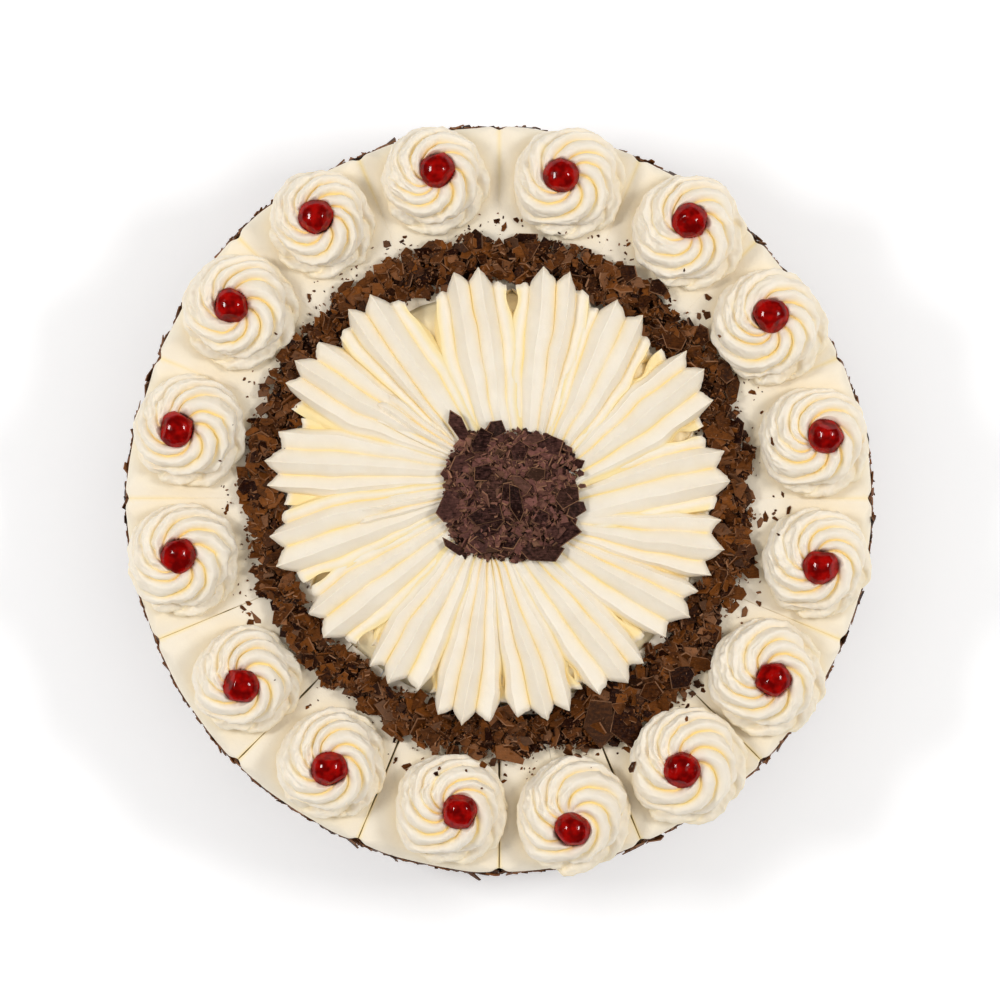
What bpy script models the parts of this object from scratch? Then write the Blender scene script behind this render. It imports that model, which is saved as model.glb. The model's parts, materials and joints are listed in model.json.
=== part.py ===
"""A round Black Forest cake, cut into sixteen slices and decorated with piped cream.

Lengths are in metres and angles in radians. +Z is up, and the origin is the centre of the cake's base.
The slices stand side by side with a knife's width between them. On top of them lie a fan of sixteen piped
strokes round a pile of chocolate flakes, a ring of flakes round the fan, and one rosette with a cherry for
each slice.
"""

import math

import bmesh
import bpy
from mathutils import Vector, noise

SLICES = 16
CAKE_RADIUS = 0.1395
CAKE_HEIGHT = 0.065
KNIFE_GAP = 0.0009
REST_GAP = 0.0003
TOP = CAKE_HEIGHT + REST_GAP
SLICE_ANGLE = math.tau / SLICES

RIM_ROUND = 0.005
FLAKE_COAT = 0.0018
COAT_HEIGHT = 0.0575
FOOT_CHAMFER = 0.0012
ARC_STEPS = 5

ROSETTE_CIRCLE = 0.1200
ROSETTE_HEIGHT = 0.0160
ROSETTE_ARMS = 8
ROSETTE_TURN = math.radians(95)
ARM_DEPTH = 0.0015
PIT_SHARE = 0.47
# From the first slice round: how far each rosette lies off its even place, along X and Y, and its radius.
ROSETTES = (
    (0.0000, -0.0025, 0.0208),
    (0.0015, -0.0030, 0.0212),
    (0.0040, -0.0005, 0.0213),
    (0.0025, 0.0005, 0.0204),
    (-0.0010, 0.0015, 0.0200),
    (0.0000, 0.0030, 0.0196),
    (0.0024, 0.0030, 0.0214),
    (0.0015, 0.0015, 0.0209),
    (-0.0005, 0.0000, 0.0209),
    (0.0050, -0.0015, 0.0200),
    (0.0040, 0.0003, 0.0203),
    (0.0050, 0.0016, 0.0207),
    (0.0039, -0.0006, 0.0214),
    (0.0034, -0.0004, 0.0217),
    (0.0002, -0.0006, 0.0217),
    (0.0012, -0.0007, 0.0201),
)

CHERRY_RADIUS = 0.0066
CHERRY_LIFT = 0.0150
# How far each cherry was dropped from its rosette's middle, along X and Y, from the first slice round.
CHERRY_STRAYS = (
    (0.0038, 0.0018),
    (-0.0003, 0.0040),
    (0.0004, 0.0035),
    (-0.0030, 0.0015),
    (0.0014, 0.0027),
    (-0.0014, 0.0014),
    (-0.0025, 0.0015),
    (-0.0036, 0.0003),
    (-0.0010, 0.0018),
    (-0.0012, -0.0019),
    (-0.0004, -0.0014),
    (0.0037, -0.0006),
    (-0.0002, -0.0052),
    (-0.0022, -0.0010),
    (0.0018, -0.0006),
    (0.0006, -0.0017),
)

FAN_RADIUS = 0.0858
FAN_HOLE = 0.0262
FAN_HOLE_SHIFT = Vector((0.0040, 0.0015, 0))
FAN_HEIGHT = 0.0135
FAN_LEAN = math.radians(-9)
STROKE_RIDGES = 5
RIDGE_DEPTH = 0.0024
RIDGE_TIP = 0.0034
STROKE_SETBACK = 0.0050
STROKE_ARCH = 0.8
FAN_OVERHANG = 0.0050
FAN_HOLE_WALL = 0.0030

RING_CLEARANCE = 0.0016
RING_RADIUS = 0.0966
RING_BULGE = 0.0016
RING_HEIGHT = 0.0060
RING_STEPS_PER_SLICE = 4

PILE_RADIUS = 0.0248
PILE_HEIGHT = 0.0160
PILE_STEPS = 24

UNEVEN = 0.0008
UNEVEN_WAVES = 2.5
SEED = 28

SHARP_EDGE = math.radians(40)


def polar(radius, angle, height):
    """The point at that radius and angle round the Z axis."""
    return Vector((radius * math.cos(angle), radius * math.sin(angle), height))


def uneven(angle, amount, seed):
    """A smooth stray of up to about the amount either way, which closes on itself round the circle."""
    spot = Vector((UNEVEN_WAVES * math.cos(angle), UNEVEN_WAVES * math.sin(angle), seed))
    return amount * noise.noise(spot)


def finish(name, colour, roughness):
    """A Principled BSDF of one colour."""
    material = bpy.data.materials.new(name)
    material.use_nodes = True
    shader = material.node_tree.nodes["Principled BSDF"]
    shader.inputs["Base Color"].default_value = (*colour, 1)
    shader.inputs["Roughness"].default_value = roughness
    return material


def place(name, shape, material):
    """Turns a bmesh into an object with its faces pointing outwards, and sharp only along its sharper edges."""
    bmesh.ops.recalc_face_normals(shape, faces=shape.faces)
    mesh = bpy.data.meshes.new(name)
    shape.to_mesh(mesh)
    shape.free()
    mesh.shade_smooth()
    mesh.set_sharp_from_angle(angle=SHARP_EDGE)
    mesh.materials.append(material)
    part = bpy.data.objects.new(name, mesh)
    bpy.context.scene.collection.objects.link(part)


def loft(rings, looped=False):
    """A bmesh whose skin runs through rings of points in order, and ends in caps or joins its own start."""
    shape = bmesh.new()
    loops = [[shape.verts.new(point) for point in ring] for ring in rings]
    count = len(loops[0])
    pairs = list(zip(loops, loops[1:]))
    if looped:
        pairs.append((loops[-1], loops[0]))
    else:
        shape.faces.new(loops[0])
        shape.faces.new(loops[-1])
    for lower, upper in pairs:
        for i in range(count):
            j = (i + 1) % count
            shape.faces.new((lower[i], lower[j], upper[j], upper[i]))
    return shape


def slice_ring(middle, radius, height):
    """One level of a slice: its point near the cake's centre, then its outer arc."""
    half_gap = KNIFE_GAP / 2
    point = polar(half_gap / math.sin(SLICE_ANGLE / 2), middle, height)
    half_arc = SLICE_ANGLE / 2 - math.asin(half_gap / radius)
    arc = (middle + half_arc * (2 * i / ARC_STEPS - 1) for i in range(ARC_STEPS + 1))
    return [point, *(polar(radius, angle, height) for angle in arc)]


def make_slice(number, sponge):
    """A wedge whose side carries a coat of flakes up to the cream rim, which is rounded over."""
    middle = (number + 0.5) * SLICE_ANGLE
    coated = CAKE_RADIUS + FLAKE_COAT
    shoulder = RIM_ROUND * (1 - math.sqrt(0.5))
    levels = (
        (coated - FOOT_CHAMFER, 0),
        (coated, FOOT_CHAMFER),
        (coated, COAT_HEIGHT),
        (CAKE_RADIUS, CAKE_HEIGHT - RIM_ROUND),
        (CAKE_RADIUS - shoulder, CAKE_HEIGHT - shoulder),
        (CAKE_RADIUS - RIM_ROUND, CAKE_HEIGHT),
    )
    rings = [slice_ring(middle, radius, height) for radius, height in levels]
    place(f"slice_{number + 1:02d}", loft(rings), sponge)


def rosette_ring(centre, size, radius_share, height_share, arm_share):
    """One level of a rosette: a ring whose points are by turns on a crest and in a groove of the swirl."""
    turned = ROSETTE_TURN * (1 - radius_share)
    points = []
    for i in range(2 * ROSETTE_ARMS):
        sunk = ARM_DEPTH * arm_share * (i % 2)
        angle = turned + math.pi * i / ROSETTE_ARMS
        radius = size * radius_share - sunk
        points.append(centre + polar(radius, angle, ROSETTE_HEIGHT * height_share - sunk / 2))
    return points


def make_rosette(number, middle, size, stray, cream):
    """A swirl of piped cream: it widens from its foot, turns in over the crest, and sinks to a small pit.

    The pit lies where the cherry strayed to, and the rings below it lead back to the rosette's middle.
    """
    levels = (
        (0.82, 0.00, 0.0),
        (1.00, 0.20, 0.8),
        (0.92, 0.50, 1.0),
        (0.72, 0.83, 1.2),
        (PIT_SHARE, 1.00, 1.0),
        (0.33, 0.75, 0.3),
        (0.17, 0.49, 0.0),
    )
    rings = []
    for radius_share, height_share, arm_share in levels:
        centre = middle + stray * min(1, (1 - radius_share) / (1 - PIT_SHARE))
        rings.append(rosette_ring(centre, size, radius_share, height_share, arm_share))
    place(f"rosette_{number + 1:02d}", loft(rings), cream)


def make_cherry(number, middle, fruit):
    """A glazed cherry that lies in its rosette's pit."""
    shape = bmesh.new()
    bmesh.ops.create_icosphere(shape, subdivisions=2, radius=CHERRY_RADIUS)
    bmesh.ops.translate(shape, verts=shape.verts, vec=middle + Vector((0, 0, CHERRY_LIFT)))
    place(f"cherry_{number + 1:02d}", shape, fruit)


def make_decoration(number, cream, fruit):
    """One slice's rosette and cherry. The cherry and the pit under it stray from the middle together."""
    off_x, off_y, size = ROSETTES[number]
    middle = polar(ROSETTE_CIRCLE, (number + 0.5) * SLICE_ANGLE, TOP) + Vector((off_x, off_y, 0))
    stray = Vector((*CHERRY_STRAYS[number], 0))
    make_rosette(number, middle, size, stray, cream)
    make_cherry(number, middle + stray, fruit)


def stroke_edge(across):
    """How far a piped stroke reaches, where across runs from -1 to 1 over its width."""
    return FAN_RADIUS - STROKE_SETBACK * abs(across) ** 1.6


def fan_ring(reach, height_share, lean_share, ridge_share, tip_share):
    """One level of the fan. reach gives the radius from the stroke's own reach, and the hole is off centre."""
    points = []
    steps = 2 * STROKE_RIDGES
    for i in range(SLICES * steps):
        across = (i % steps) / STROKE_RIDGES - 1
        in_groove = 1 - i % 2
        arch = math.sqrt(1 - (STROKE_ARCH * across) ** 2)
        angle = SLICE_ANGLE * i / steps + FAN_LEAN * lean_share
        radius = reach(stroke_edge(across)) - RIDGE_TIP * tip_share * in_groove
        height = FAN_HEIGHT * height_share * arch - RIDGE_DEPTH * ridge_share * in_groove
        nearness = (FAN_RADIUS - radius) / (FAN_RADIUS - FAN_HOLE)
        points.append(polar(radius, angle, TOP + max(height, 0)) + FAN_HOLE_SHIFT * nearness)
    return points


def make_fan(cream):
    """Sixteen ridged strokes side by side, which end in points outside and lean as they close on the hole."""
    rings = (
        fan_ring(lambda edge: FAN_HOLE, 0, 1, 0, 0),
        fan_ring(lambda edge: edge - FAN_OVERHANG, 0, 0, 0, 0),
        fan_ring(lambda edge: edge, 0.36, 0, 0, 1),
        fan_ring(lambda edge: 0.93 * edge, 0.92, 0.05, 1, 0),
        fan_ring(lambda edge: 0.70 * FAN_RADIUS, 1, 0.3, 1, 0),
        fan_ring(lambda edge: FAN_HOLE + FAN_HOLE_WALL, 0.92, 0.9, 0.5, 0),
    )
    place("piped_fan", loft(rings, looped=True), cream)


def ring_inner(angle):
    """The radius of the flake ring's inner edge, which follows the strokes' ends."""
    across = 2 * ((angle / SLICE_ANGLE) % 1) - 1
    return stroke_edge(across) + RING_CLEARANCE


def ring_outer(angle):
    """The radius of the flake ring's outer edge, which bulges between the rosettes."""
    return RING_RADIUS + RING_BULGE * math.cos(SLICES * angle) + uneven(angle, UNEVEN, SEED + 1)


def make_flake_ring(chocolate):
    """The band of heaped chocolate flakes between the fan and the rosettes."""
    steps = SLICES * RING_STEPS_PER_SLICE
    angles = [math.tau * i / steps for i in range(steps)]
    rings = ([], [], [], [], [])
    for angle in angles:
        inner, outer = ring_inner(angle), ring_outer(angle)
        crown = RING_HEIGHT + uneven(angle, UNEVEN, SEED + 2)
        section = ((0.0, 0.0), (1.0, 0.0), (0.88, 0.55), (0.5, 1.0), (0.08, 0.7))
        for ring, (across, up) in zip(rings, section):
            ring.append(polar(inner + (outer - inner) * across, angle, TOP + crown * up))
    place("flake_ring", loft(rings, looped=True), chocolate)


def make_flake_pile(chocolate):
    """The heap of chocolate flakes in the middle of the fan."""
    levels = ((0.90, 0.0), (1.0, 0.45), (0.93, 0.80), (0.62, 0.96), (0.25, 1.0))
    rings = []
    for radius_share, height_share in levels:
        ring = []
        for i in range(PILE_STEPS):
            angle = math.tau * i / PILE_STEPS
            radius = radius_share * (PILE_RADIUS + uneven(angle, UNEVEN, SEED + 3))
            ring.append(polar(radius, angle, TOP + PILE_HEIGHT * height_share) + FAN_HOLE_SHIFT)
        rings.append(ring)
    place("flake_pile", loft(rings), chocolate)


def main():
    for old in list(bpy.data.objects):
        bpy.data.objects.remove(old)
    sponge = finish("iced_slice", (0.92, 0.86, 0.70), 0.55)
    cream = finish("piped_cream", (0.94, 0.89, 0.75), 0.5)
    fruit = finish("cherry_glaze", (0.35, 0.008, 0.006), 0.12)
    chocolate = finish("dark_flakes", (0.055, 0.026, 0.016), 0.45)
    for number in range(SLICES):
        make_slice(number, sponge)
        make_decoration(number, cream, fruit)
    make_fan(cream)
    make_flake_ring(chocolate)
    make_flake_pile(chocolate)


main()
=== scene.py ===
"""The looks of a Black Forest cake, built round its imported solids.

Sixteen iced slices carry a piped rosette and a glazed cherry each. Inside them lie a ring of chocolate flakes,
a fan of sixteen piped strokes and a heap of flakes, and more flakes coat the side. Lengths are metres and
angles are radians, +Z is up, and the middle of the cake's base is the origin.
"""

import itertools
import json
import logging
import math
from dataclasses import dataclass, field
from enum import Enum
from typing import Any, Callable

import bpy
import numpy as np
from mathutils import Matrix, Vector
from mathutils.bvhtree import BVHTree

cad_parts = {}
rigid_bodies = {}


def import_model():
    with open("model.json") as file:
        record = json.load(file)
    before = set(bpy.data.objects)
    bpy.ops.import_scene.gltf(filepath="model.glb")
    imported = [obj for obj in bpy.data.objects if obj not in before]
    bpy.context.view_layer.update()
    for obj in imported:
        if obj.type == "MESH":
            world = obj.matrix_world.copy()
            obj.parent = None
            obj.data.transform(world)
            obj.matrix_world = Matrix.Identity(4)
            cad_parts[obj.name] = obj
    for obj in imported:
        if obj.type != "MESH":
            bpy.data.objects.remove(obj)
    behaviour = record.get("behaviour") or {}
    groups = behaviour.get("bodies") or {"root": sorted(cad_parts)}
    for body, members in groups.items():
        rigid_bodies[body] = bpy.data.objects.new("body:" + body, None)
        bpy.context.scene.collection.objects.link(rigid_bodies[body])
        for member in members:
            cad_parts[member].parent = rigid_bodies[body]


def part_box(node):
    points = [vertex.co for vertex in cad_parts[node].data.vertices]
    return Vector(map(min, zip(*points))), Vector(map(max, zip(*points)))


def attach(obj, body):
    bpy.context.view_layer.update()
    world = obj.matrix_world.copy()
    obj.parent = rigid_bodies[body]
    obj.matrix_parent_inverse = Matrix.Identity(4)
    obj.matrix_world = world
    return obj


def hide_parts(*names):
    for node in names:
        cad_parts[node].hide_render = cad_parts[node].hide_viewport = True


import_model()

LOG = logging.getLogger("black_forest_cake")
Array = np.ndarray
MM = 0.001
TAU = math.tau
# the heaps' cores take the darkest tone: painted shade in the gaps between flakes
CORE_PAINTED_SHADE = 0.05
WELD = 0.001 * MM


class Slot(Enum):
    """The record's material slots."""

    ICED_SLICE = "iced_slice"
    PIPED_CREAM = "piped_cream"
    CHERRY_GLAZE = "cherry_glaze"
    DARK_FLAKES = "dark_flakes"


class Mark(Enum):
    """Values that a mesh carries at its points or faces, for its material to read."""

    # painted warm shade: yellow laid where folds, grooves and cuts shut light in
    DEEP = "deep"
    # syrup bled from the cherry, plus a wider faint ring of painted warm light over its shadow
    STAIN = "stain"
    SHADE = "shade"
    SCRAPED = "scraped"


def ease(low: float, high: float, value: Array) -> Array:
    """A soft step from 0 at low to 1 at high."""
    share = np.clip((value - low) / (high - low), 0, 1)
    return share * share * (3 - 2 * share)


def bell(distance: Array, width: float) -> Array:
    """A soft bump: 1 where the distance is 0, and nearly nothing from two widths on."""
    return np.exp(-((distance / width) ** 2))


def turned(angle: Array) -> Array:
    """The same angle, brought between minus half a turn and half a turn."""
    return (angle + math.pi) % TAU - math.pi


def polar(radius: Array | float, angle: Array, level: Array) -> Array:
    """Points at that radius, angle and height, with X, Y and Z along the last axis."""
    return np.stack((radius * np.cos(angle), radius * np.sin(angle), level), axis=-1)


HASH = np.array((73856093, 19349663, 83492791))
HASH_SEED, HASH_MIX, HASH_BITS = 7919, 1274126177, 0xFFFF


def lumps(points: Array, size: float, seed: int) -> Array:
    """Soft random relief.

    Args:
        points: places in space, with the last axis of length 3.
        size: how far apart its lumps are.
        seed: which relief it is.

    Returns:
        A value from -1 to 1 for each place.
    """
    spots = points / size
    cell = np.floor(spots).astype(np.int64)
    part = spots - cell
    blend = part * part * (3 - 2 * part)
    total = np.zeros(points.shape[:-1])
    for corner in itertools.product((0, 1), repeat=3):
        key = (cell + corner) @ HASH + seed * HASH_SEED
        key = (key ^ (key >> 13)) * HASH_MIX & 0xFFFFFFFF
        key = (key ^ (key >> 16)) & HASH_BITS
        weight = np.prod(np.where(np.array(corner) == 1, blend, 1 - blend), axis=-1)
        total += weight * (key / (HASH_BITS / 2) - 1)
    return total


def ring_lumps(angle: Array, waves: float, seed: int) -> Array:
    """Random relief round a circle, from -1 to 1, which meets its own start."""
    return lumps(polar(waves, angle, np.zeros_like(angle)), 1.0, seed)


def smooth_curve(knots: tuple[tuple[float, ...], ...], places: Array) -> Array:
    """Points on the smooth curve through the knots, where place 0 is the first knot and place 1 the second."""
    table = np.array(knots)
    last = len(table) - 1
    first = np.clip(np.floor(places).astype(int), 0, last - 1)
    share = (places - first)[..., None]
    before, start = table[np.maximum(first - 1, 0)], table[first]
    end, after = table[first + 1], table[np.minimum(first + 2, last)]
    slope_in, slope_out = (end - before) / 2, (after - start) / 2
    bend = 3 * (end - start) - 2 * slope_in - slope_out
    tail = 2 * (start - end) + slope_in + slope_out
    return start + share * (slope_in + share * (bend + share * tail))


def deselect() -> None:
    """Leaves nothing selected, in object mode."""
    if bpy.context.object and bpy.context.object.mode != "OBJECT":
        bpy.ops.object.mode_set(mode="OBJECT")
    bpy.ops.object.select_all(action="DESELECT")


def select_only(piece: bpy.types.Object) -> None:
    """Makes one piece the only one selected, and the active one."""
    deselect()
    piece.select_set(True)
    bpy.context.view_layer.objects.active = piece


def add_sheet(name: str, columns: int, rows: int) -> tuple[bpy.types.Object, Array, Array]:
    """Adds a flat woven sheet to be shaped.

    Args:
        name: the new piece's name.
        columns: how many faces it has across.
        rows: how many faces it has along.

    Returns:
        The piece, and how far across and how far along each of its points lies, from 0 to 1, as tables with a
        line for each row of points.
    """
    deselect()
    bpy.ops.mesh.primitive_grid_add(x_subdivisions=columns, y_subdivisions=rows, size=2)
    sheet = bpy.context.active_object
    sheet.name = sheet.data.name = name
    flat = points_of(sheet).reshape(rows + 1, columns + 1, 3)
    return sheet, flat[..., 0] / 2 + 0.5, flat[..., 1] / 2 + 0.5


def points_of(piece: bpy.types.Object) -> Array:
    """The piece's points, one a line."""
    flat = np.empty(len(piece.data.vertices) * 3, np.float32)
    piece.data.vertices.foreach_get("co", flat)
    return flat.reshape(-1, 3).astype(float)


def move_points(piece: bpy.types.Object, points: Array) -> None:
    """Puts the piece's points in new places."""
    piece.data.vertices.foreach_set("co", points.astype(np.float32).ravel())
    piece.data.update()


def mark(piece: bpy.types.Object, what: Mark, values: Array | float, domain: str = "POINT") -> None:
    """Writes a value for each point or face of the piece, or the same one for all."""
    layer = piece.data.attributes.new(what.value, "FLOAT", domain)
    layer.data.foreach_set("value", np.resize(np.asarray(values, np.float32), len(layer.data)))


def pick_open_edges() -> None:
    """Selects the edges that belong to one face only, in edit mode."""
    bpy.ops.mesh.select_all(action="DESELECT")
    bpy.ops.mesh.select_mode(type="EDGE")
    bpy.ops.mesh.select_non_manifold(
        extend=False, use_wire=False, use_multi_face=False, use_non_contiguous=False, use_verts=False
    )


def face_outwards(piece: bpy.types.Object) -> None:
    """Turns all faces of a closed piece outwards."""
    select_only(piece)
    bpy.ops.object.mode_set(mode="EDIT")
    bpy.ops.mesh.select_all(action="SELECT")
    bpy.ops.mesh.normals_make_consistent(inside=False)
    bpy.ops.object.mode_set(mode="OBJECT")


def close_up(piece: bpy.types.Object, ring: bool = False) -> None:
    """Welds a shaped sheet's seam and poles, closes its foot and turns its faces outwards.

    Args:
        piece: the shaped sheet.
        ring: whether the foot is a ring, closed from its inner edge to its outer, or one face.
    """
    select_only(piece)
    bpy.ops.object.mode_set(mode="EDIT")
    bpy.ops.mesh.select_all(action="SELECT")
    bpy.ops.mesh.remove_doubles(threshold=WELD)
    if ring:
        bpy.ops.mesh.normals_make_consistent(inside=False)
        pick_open_edges()
        bpy.ops.mesh.bridge_edge_loops()
    else:
        pick_open_edges()
        bpy.ops.mesh.edge_face_add()
    bpy.ops.object.mode_set(mode="OBJECT")
    face_outwards(piece)
    bpy.ops.object.shade_smooth()


def settle(piece: bpy.types.Object, slot: Slot, look: bpy.types.Material, *nodes: str) -> None:
    """Dresses a finished piece, lets it ride on the cake, and hides the solids it stands for."""
    piece.data.materials.clear()
    piece.data.materials.append(look)
    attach(piece, "root")
    if nodes:
        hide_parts(*nodes)
    piece.data.calc_loop_triangles()
    LOG.info("%s: %d triangles", piece.name, len(piece.data.loop_triangles))


class Wire:
    """A number that a shader works out, written with Python's own operators."""

    def __init__(self, graph: "Graph", socket: bpy.types.NodeSocket) -> None:
        """Holds the socket that gives the number."""
        self.graph = graph
        self.socket = socket

    def _math(self, operation: str, *values: Any) -> "Wire":
        """One Math node on these values."""
        return self.graph.node("ShaderNodeMath", {"operation": operation}, dict(enumerate(values)))

    def __add__(self, other: Any) -> "Wire":
        """This number plus another."""
        return self._math("ADD", self, other)

    __radd__ = __add__

    def __sub__(self, other: Any) -> "Wire":
        """This number less another."""
        return self._math("SUBTRACT", self, other)

    def __rsub__(self, other: Any) -> "Wire":
        """Another number less this one."""
        return self._math("SUBTRACT", other, self)

    def __mul__(self, other: Any) -> "Wire":
        """This number times another."""
        return self._math("MULTIPLY", self, other)

    __rmul__ = __mul__

    def step(self, low: float, high: float) -> "Wire":
        """A soft step from 0 at low to 1 at high."""
        inputs = {"Value": self, "From Min": low, "From Max": high}
        return self.graph.node("ShaderNodeMapRange", {"interpolation_type": "SMOOTHSTEP"}, inputs)


class Graph:
    """The nodes of one material or of the sky."""

    def __init__(self, owner: bpy.types.Material | bpy.types.World, shader: str = "Principled BSDF") -> None:
        """Starts from the owner's own shader and output."""
        owner.use_nodes = True
        self.owner = owner
        self.tree = owner.node_tree
        self.shader = self.tree.nodes[shader]

    def node(self, kind: str, settings: dict[str, Any], inputs: dict[Any, Any], output: Any = 0) -> Wire:
        """Adds a node.

        Args:
            kind: the node's type.
            settings: its own settings, such as an operation.
            inputs: a value or a wire for each socket, by name or number.
            output: which of its outputs is wanted.

        Returns:
            The wanted output.
        """
        made = self.tree.nodes.new(kind)
        for key, value in settings.items():
            setattr(made, key, value)
        for key, value in inputs.items():
            self.feed(made.inputs[key], value)
        return Wire(self, made.outputs[output])

    def feed(self, socket: bpy.types.NodeSocket, value: Any) -> None:
        """Links a wire to a socket, or sets the socket's own value."""
        if isinstance(value, Wire):
            self.tree.links.new(value.socket, socket)
        elif isinstance(value, tuple) and len(value) == 3 and socket.type == "RGBA":
            socket.default_value = (*value, 1)
        else:
            socket.default_value = value

    def mark(self, what: Mark) -> Wire:
        """The value that the mesh carries."""
        return self.node("ShaderNodeAttribute", {"attribute_name": what.value}, {}, "Fac")

    def noise(self, size: float, detail: float = 2, stretch: tuple[float, float, float] = (1, 1, 1)) -> Wire:
        """Random relief from 0 to 1, with lumps of about that size, drawn out along the axes by stretch."""
        place = self.node("ShaderNodeTexCoord", {}, {}, "Object")
        scale = tuple(1 / (size * times) for times in stretch)
        place = self.node("ShaderNodeMapping", {}, {"Vector": place, "Scale": scale})
        return self.node("ShaderNodeTexNoise", {}, {"Vector": place, "Scale": 1.0, "Detail": detail})

    def mix(self, share: Any, first: Any, second: Any) -> Wire:
        """A colour between two."""
        made = self.tree.nodes.new("ShaderNodeMix")
        made.data_type = "RGBA"
        self.feed(made.inputs["Factor"], share)
        self.feed(made.inputs[6], first)
        self.feed(made.inputs[7], second)
        return Wire(self, made.outputs[2])

    def dress(self, **inputs: Any) -> None:
        """Feeds the shader's sockets, named with underscores for their spaces."""
        for socket, value in inputs.items():
            self.feed(self.shader.inputs[socket.replace("_", " ")], value)

    def bump(self, height: Wire, depth: float) -> None:
        """Gives the shader fine relief that is depth high."""
        inputs = {"Height": height, "Distance": depth, "Strength": 1.0}
        self.dress(Normal=self.node("ShaderNodeBump", {}, inputs))


Colour = tuple[float, float, float]


@dataclass(frozen=True)
class CreamFinish:
    """Whipped cream: nearly white, with painted warm shade where it folds on itself and in its grooves and cuts.
    """

    name: str
    light: Colour = (0.955, 0.868, 0.722)
    dull: Colour = (0.938, 0.842, 0.688)
    # the colour of the painted warm shade
    deep: Colour = (0.985, 0.780, 0.340)
    # the bled syrup's colour, also laid as painted warm light round the cherry
    stain: Colour = (0.930, 0.520, 0.340)
    roughness: float = 0.42
    grain: float = 0.08 * MM
    glow: float = 0.28

    def make(self) -> bpy.types.Material:
        """The material."""
        graph = Graph(bpy.data.materials.new(self.name))
        cloud = graph.noise(9 * MM, 1).step(0.35, 0.65)
        colour = graph.mix(cloud, self.dull, self.light)
        # painted warm shade mixed in where the mesh marks folds, grooves and cuts
        colour = graph.mix(graph.mark(Mark.DEEP), colour, self.deep)
        # bled syrup, and painted warm light over the cherry's shadow
        colour = graph.mix(graph.mark(Mark.STAIN), colour, self.stain)
        pores = graph.noise(0.45 * MM, 2)
        graph.dress(
            Base_Color=colour,
            Roughness=pores * 0.18 + (self.roughness - 0.09),
            Subsurface_Weight=self.glow,
            Subsurface_Radius=(1.0, 0.72, 0.38),
            Subsurface_Scale=1.4 * MM,
            Specular_IOR_Level=0.42,
            IOR=1.42,
        )
        graph.bump(pores + graph.noise(1.6 * MM, 1) * 1.5, self.grain)
        graph.shader.subsurface_method = "BURLEY"
        return graph.owner


@dataclass(frozen=True)
class CherryFinish:
    """A candied cherry under clear syrup."""

    name: str = "cherry_glaze"
    dark: Colour = (0.150, 0.0010, 0.0008)
    bright: Colour = (0.400, 0.0034, 0.0022)

    def make(self) -> bpy.types.Material:
        """The material."""
        graph = Graph(bpy.data.materials.new(self.name))
        flesh = graph.noise(3.2 * MM, 1).step(0.3, 0.72)
        dimples = graph.noise(2.4 * MM, 1)
        edge_on = graph.node("ShaderNodeLayerWeight", {}, {"Blend": 0.5}, "Facing")
        graph.dress(
            Base_Color=graph.mix(flesh, self.dark, self.bright),
            Roughness=0.22,
            Subsurface_Weight=0.5,
            Subsurface_Radius=(1.0, 0.06, 0.04),
            Subsurface_Scale=2.2 * MM,
            Coat_Weight=(1 - edge_on) * (1 - edge_on),
            Coat_Roughness=0.03,
            Coat_IOR=1.45,
            Specular_IOR_Level=0.06,
            IOR=1.40,
        )
        graph.bump(dimples, 0.55 * MM)
        return graph.owner


@dataclass(frozen=True)
class ChocolateFinish:
    """Shaved dark chocolate: satin faces with fine scrape lines, and paler broken edges."""

    name: str
    dark: Colour = (0.015, 0.0024, 0.0003)
    brown: Colour = (0.214, 0.0650, 0.0100)
    edge: Colour = (0.420, 0.2150, 0.1150)
    roughness: float = 0.42

    def make(self) -> bpy.types.Material:
        """The material."""
        graph = Graph(bpy.data.materials.new(self.name))
        scrape = graph.noise(0.5 * MM, 2, (6, 1, 1))
        dust = graph.noise(1.3 * MM, 3)
        specks = graph.noise(0.5 * MM, 3).step(0.63, 0.73)
        shade = graph.mark(Mark.SHADE) * 0.85 + (dust - 0.5) * 0.7 + (scrape - 0.5) * 0.5
        face = graph.mix(shade, self.dark, self.brown)
        colour = graph.mix(graph.mark(Mark.SCRAPED) * 0.75 + specks * 0.28, face, self.edge)
        graph.dress(
            Base_Color=colour,
            Roughness=dust * 0.3 + (self.roughness - 0.12),
            Specular_IOR_Level=0.09,
            IOR=1.45,
        )
        graph.bump(scrape + dust * 1.5, 0.22 * MM)
        return graph.owner


@dataclass
class Looks:
    """Every finish of the cake, made once."""

    icing: bpy.types.Material = field(
        default_factory=CreamFinish("smooth_icing", roughness=0.5, grain=0.09 * MM, glow=0.0).make
    )
    cream: bpy.types.Material = field(default_factory=CreamFinish("piped_whipped_cream").make)
    cherry: bpy.types.Material = field(default_factory=CherryFinish().make)
    flakes: bpy.types.Material = field(default_factory=ChocolateFinish("shaved_dark_chocolate").make)
    crumbs: bpy.types.Material = field(
        default_factory=ChocolateFinish(
            "fine_dark_chocolate", dark=(0.013, 0.0034, 0.0022), brown=(0.250, 0.1010, 0.0800)
        ).make
    )


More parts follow.
